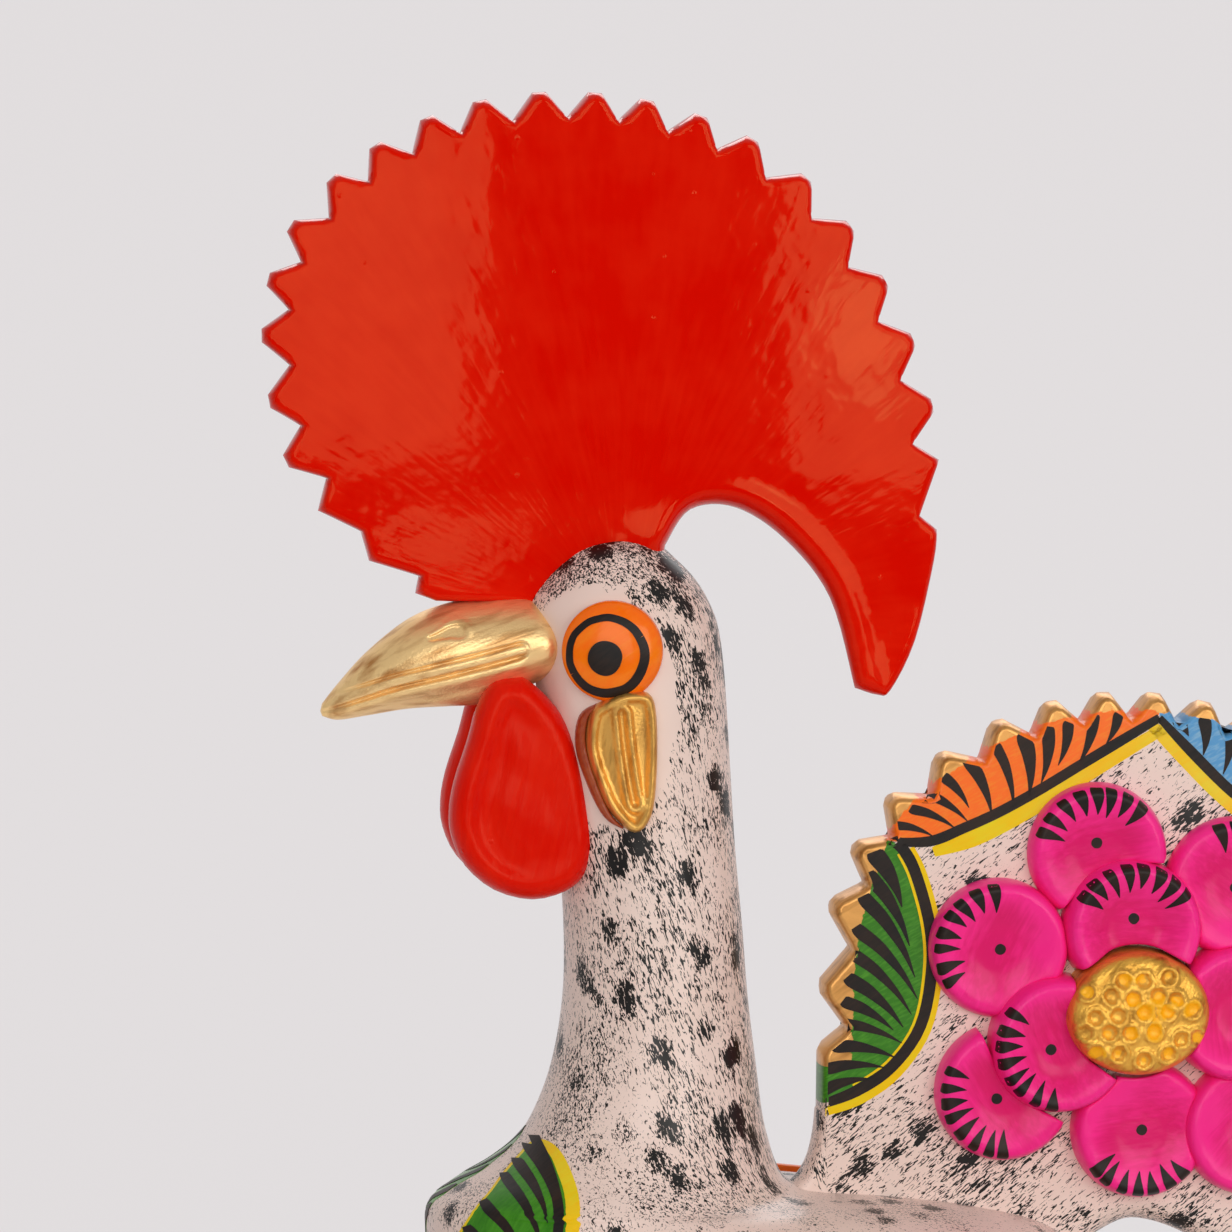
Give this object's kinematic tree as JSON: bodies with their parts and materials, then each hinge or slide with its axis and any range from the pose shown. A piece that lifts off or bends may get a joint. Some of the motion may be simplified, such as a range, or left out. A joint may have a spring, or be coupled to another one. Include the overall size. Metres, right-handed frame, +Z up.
{
  "type": "ceramic cockerel ornament",
  "caption": "Hand-painted glazed ceramic cockerel with a saw-toothed comb and tail fan, standing on a bell-shaped foot, made as a shelf ornament.",
  "frame": {"origin": "middle of the foot, on the floor", "axes": "+Z is up from the floor, the beak points to -X, and the bird's left side faces -Y"},
  "size_m": [0.2223, 0.164, 0.3955],
  "materials": {
    "cream_glaze": "gloss cream glaze speckled with black dabs",
    "red_enamel": "gloss red enamel with brush ridges",
    "gold_paint": "satin gold paint over glaze",
    "eye_enamel": "gloss orange enamel with a black ring and pupil",
    "pink_enamel": "gloss pink enamel",
    "yellow_enamel": "gloss yellow enamel"
  },
  "bodies": {
    "root": {"base": "cream_glaze", "body_left": "cream_glaze", "body_right": "cream_glaze", "tail_fan": "cream_glaze", "comb": "red_enamel", "beak": "gold_paint", "eye_left": "eye_enamel", "wattle_left": "red_enamel", "ear_lobe_left": "gold_paint", "wing_left": "cream_glaze", "leg_left": "yellow_enamel", "tail_outer_petal_left_1": "pink_enamel", "tail_outer_petal_left_2": "pink_enamel", "tail_outer_petal_left_3": "pink_enamel", "tail_outer_petal_left_4": "pink_enamel", "tail_outer_petal_left_5": "pink_enamel", "tail_outer_petal_left_6": "pink_enamel", "tail_outer_petal_left_7": "pink_enamel", "tail_inner_petal_left_1": "pink_enamel", "tail_inner_petal_left_2": "pink_enamel", "tail_inner_petal_left_3": "pink_enamel", "tail_button_left": "gold_paint", "eye_right": "eye_enamel", "wattle_right": "red_enamel", "ear_lobe_right": "gold_paint", "wing_right": "cream_glaze", "leg_right": "yellow_enamel", "tail_outer_petal_right_1": "pink_enamel", "tail_outer_petal_right_2": "pink_enamel", "tail_outer_petal_right_3": "pink_enamel", "tail_outer_petal_right_4": "pink_enamel", "tail_outer_petal_right_5": "pink_enamel", "tail_outer_petal_right_6": "pink_enamel", "tail_outer_petal_right_7": "pink_enamel", "tail_inner_petal_right_1": "pink_enamel", "tail_inner_petal_right_2": "pink_enamel", "tail_inner_petal_right_3": "pink_enamel", "tail_button_right": "gold_paint", "breast_petal_1": "pink_enamel", "breast_petal_2": "pink_enamel", "breast_petal_3": "pink_enamel", "breast_petal_4": "pink_enamel", "breast_petal_5": "pink_enamel", "breast_button": "gold_paint"}
  },
  "joints": []
}
